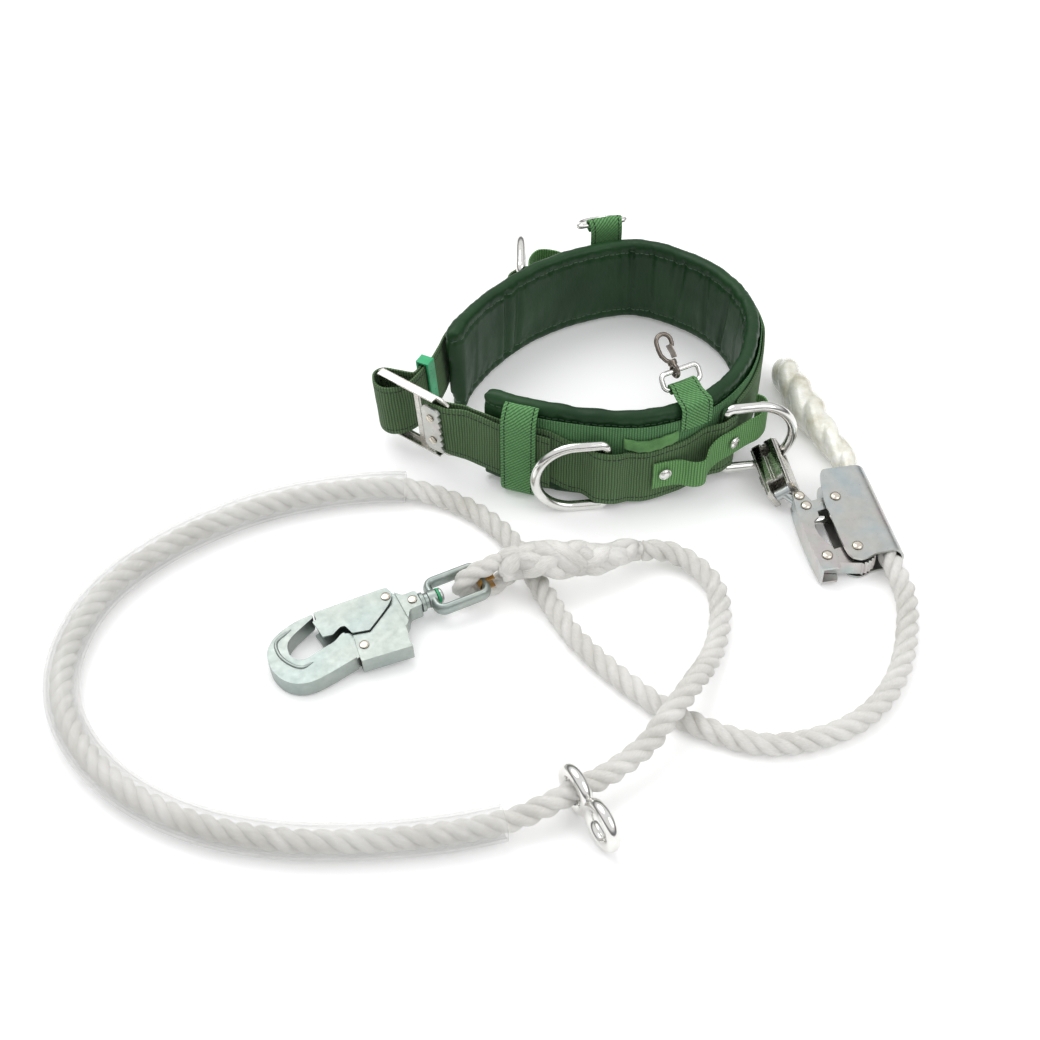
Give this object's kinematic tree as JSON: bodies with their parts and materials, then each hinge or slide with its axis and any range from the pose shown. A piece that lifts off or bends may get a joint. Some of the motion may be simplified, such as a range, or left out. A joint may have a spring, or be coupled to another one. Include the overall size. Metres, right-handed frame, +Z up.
{
  "type": "tree climbing saddle",
  "caption": "Work-positioning saddle for climbing trees and poles: padded waist belt with D-rings and clamping buckle, and a rope lanyard with grip adjuster, clear sleeve and swivel snap hook.",
  "frame": {"origin": "on the surface it lies on, under the middle of the belt, grip and hook, without the rope", "axes": "+Z up; +X to the right and +Y away from the belt's near side, where the buckle is on the left and the lanyard's connector on the right"},
  "size_m": [0.6147, 0.5891, 0.1231],
  "materials": {
    "pad_vinyl": "smooth coated fabric over foam, satin",
    "belt_webbing": "ribbed woven webbing, matte",
    "light_webbing": "woven tape, slight sheen",
    "zinc_plate": "zinc-plated pressed steel, satin",
    "polished_steel": "polished",
    "white_nylon": "laid and braided white nylon",
    "gunmetal": "dark nickel, satin",
    "clear_pvc": "clear soft hose",
    "green_plastic": "moulded",
    "amber_plastic": "moulded"
  },
  "bodies": {
    "belt": {"back_pad": "pad_vinyl", "pad_webbing": "light_webbing", "main_belt": "belt_webbing", "keeper_loop": "light_webbing", "ring_strap": "light_webbing", "tool_strap_near": "light_webbing", "tool_strap_far": "light_webbing", "strap_stud_front": "polished_steel", "strap_stud_hip": "polished_steel", "tab_near": "light_webbing", "tab_far": "light_webbing", "buckle_frame": "zinc_plate"},
    "clamp": {"buckle_clamp": "zinc_plate", "clamp_rivet_upper": "zinc_plate", "clamp_rivet_lower": "zinc_plate"},
    "slide": {"slide_keeper": "green_plastic"},
    "front_ring": {"dring_front": "polished_steel"},
    "hip_ring": {"dring_hip": "polished_steel"},
    "far_ring": {"dring_far": "polished_steel"},
    "near_tab_ring": {"tab_ring_near": "polished_steel"},
    "clip": {"clip_body": "gunmetal"},
    "clip_leaf": {"clip_gate": "gunmetal"},
    "far_tab_ring": {"tab_ring_far": "polished_steel"},
    "connector": {"connector_body": "polished_steel", "neck_pin": "zinc_plate", "latch_pin": "zinc_plate"},
    "latch": {"connector_latch": "polished_steel"},
    "neck": {"connector_neck": "zinc_plate", "arm_rivet_neck": "zinc_plate"},
    "arm": {"grip_arm": "zinc_plate", "arm_rivet_upper": "zinc_plate", "arm_rivet_lower": "zinc_plate"},
    "link": {"upper_link": "zinc_plate", "link_roller": "polished_steel"},
    "cam": {"grip_cam": "zinc_plate"},
    "housing": {"grip_housing": "zinc_plate", "housing_rivet_upper": "zinc_plate", "housing_rivet_lower": "zinc_plate", "rope": "white_nylon", "tail_splice": "white_nylon", "eye_splice": "white_nylon", "thimble": "amber_plastic", "rope_sleeve": "clear_pvc", "swivel_eye": "zinc_plate", "swivel_pin": "zinc_plate", "swivel_washer": "green_plastic"},
    "figure8": {"figure8_ring": "polished_steel"},
    "hook": {"hook_body": "zinc_plate", "hook_collar": "zinc_plate", "neck_rivet": "zinc_plate", "gate_rivet": "zinc_plate", "lever_rivet": "zinc_plate", "gate_spring": "zinc_plate"},
    "gate": {"hook_gate": "zinc_plate"},
    "lever": {"safety_lever": "zinc_plate"}
  },
  "joints": [
    {"name": "clamp_slide", "type": "slide", "parent": "belt", "child": "clamp", "axis": [-0.7902, 0.6129, 0], "range_m": [0, 0.006]},
    {"name": "slide_keeper_slide", "type": "slide", "parent": "belt", "child": "slide", "axis": [-0.4472, -0.8944, 0], "range_m": [-0.004, 0.004]},
    {"name": "front_ring_turn", "type": "hinge", "parent": "belt", "child": "front_ring", "pos_m": [0.0112, -0.0383, 0.0345], "axis": [0, 0, 1], "range_deg": [0, 48]},
    {"name": "hip_ring_turn", "type": "hinge", "parent": "belt", "child": "hip_ring", "pos_m": [0.10263, -0.00742, 0.042], "axis": [0, 0, 1], "range_deg": [0, 14]},
    {"name": "far_ring_turn", "type": "hinge", "parent": "belt", "child": "far_ring", "pos_m": [-0.05291, 0.16835, 0.0464], "axis": [0, -0.1289, 0.9917], "range_deg": [0, 45]},
    {"name": "near_tab_ring_turn", "type": "hinge", "parent": "belt", "child": "near_tab_ring", "pos_m": [0.06827, -0.00187, 0.092], "axis": [0.8782, 0.4783, 0], "range_deg": [-8, 12]},
    {"name": "clip_turn", "type": "hinge", "parent": "near_tab_ring", "child": "clip", "pos_m": [0.06189, 0.00358, 0.10135], "axis": [0.8782, 0.4783, 0], "range_deg": [-15, 15]},
    {"name": "clip_gate_turn", "type": "hinge", "parent": "clip", "child": "clip_leaf", "pos_m": [0.06151, 0.01097, 0.10797], "axis": [-0.3371, 0.6189, -0.7095], "range_deg": [-16, 0], "stiffness_Nm_per_rad": 0.01, "springref_deg": 5.73},
    {"name": "far_tab_ring_turn", "type": "hinge", "parent": "belt", "child": "far_tab_ring", "pos_m": [0.01533, 0.2012, 0.0958], "axis": [0.9638, 0.2667, 0], "range_deg": [-12, 12]},
    {"name": "connector_turn", "type": "hinge", "parent": "hip_ring", "child": "connector", "pos_m": [0.14164, -0.00186, 0.01639], "axis": [-0.8396, -0.1196, -0.5299], "range_deg": [0, 10]},
    {"name": "connector_latch_turn", "type": "hinge", "parent": "connector", "child": "latch", "pos_m": [0.13655, -0.0273, 0.00945], "axis": [-0.5163, -0.1277, 0.8468], "range_deg": [0, 20]},
    {"name": "neck_turn", "type": "hinge", "parent": "connector", "child": "neck", "pos_m": [0.14772, -0.03731, 0.01475], "axis": [-0.8396, -0.1196, -0.5299], "range_deg": [-10, 0]},
    {"name": "arm_turn", "type": "hinge", "parent": "neck", "child": "arm", "pos_m": [0.1584, -0.04535, 0.011], "axis": [0, 0, 1], "range_deg": [-14, 0]},
    {"name": "link_turn", "type": "hinge", "parent": "arm", "child": "link", "pos_m": [0.16231, -0.05603, 0.011], "axis": [0, 0, 1], "range_deg": [-10, 8]},
    {"name": "housing_turn", "type": "hinge", "parent": "link", "child": "housing", "pos_m": [0.18516, -0.04855, 0.011], "axis": [0, 0, 1], "range_deg": [-8, 10]},
    {"name": "cam_turn", "type": "hinge", "parent": "arm", "child": "cam", "pos_m": [0.17148, -0.10803, 0.011], "axis": [0, 0, 1], "range_deg": [-10, 8]},
    {"name": "figure8_turn", "type": "hinge", "parent": "housing", "child": "figure8", "pos_m": [-0.01764, -0.31651, 0.019], "axis": [0.8658, 0.5004, 0], "range_deg": [-40, 0]},
    {"name": "hook_swivel", "type": "hinge", "parent": "housing", "child": "hook", "pos_m": [-0.12901, -0.15223, 0.01366], "axis": [0.9047, 0.4219, 0.0593], "continuous": true},
    {"name": "hook_gate_turn", "type": "hinge", "parent": "hook", "child": "gate", "pos_m": [-0.14906, -0.15032, 0.01263], "axis": [-0.0537, -0.0251, 0.9982], "range_deg": [0, 18], "stiffness_Nm_per_rad": 0.05, "springref_deg": -5.73},
    {"name": "safety_lever_turn", "type": "hinge", "parent": "hook", "child": "lever", "pos_m": [-0.16166, -0.1925, 0.01089], "axis": [-0.0537, -0.0251, 0.9982], "range_deg": [0, 8], "stiffness_Nm_per_rad": 0.05, "springref_deg": -5.73}
  ],
  "couplings": [
    {"joint": "neck_turn", "follows": "connector_turn", "ratio": -1},
    {"joint": "arm_turn", "follows": "hip_ring_turn", "ratio": -1},
    {"joint": "housing_turn", "follows": "link_turn", "ratio": -1},
    {"joint": "cam_turn", "follows": "link_turn", "ratio": 1}
  ]
}
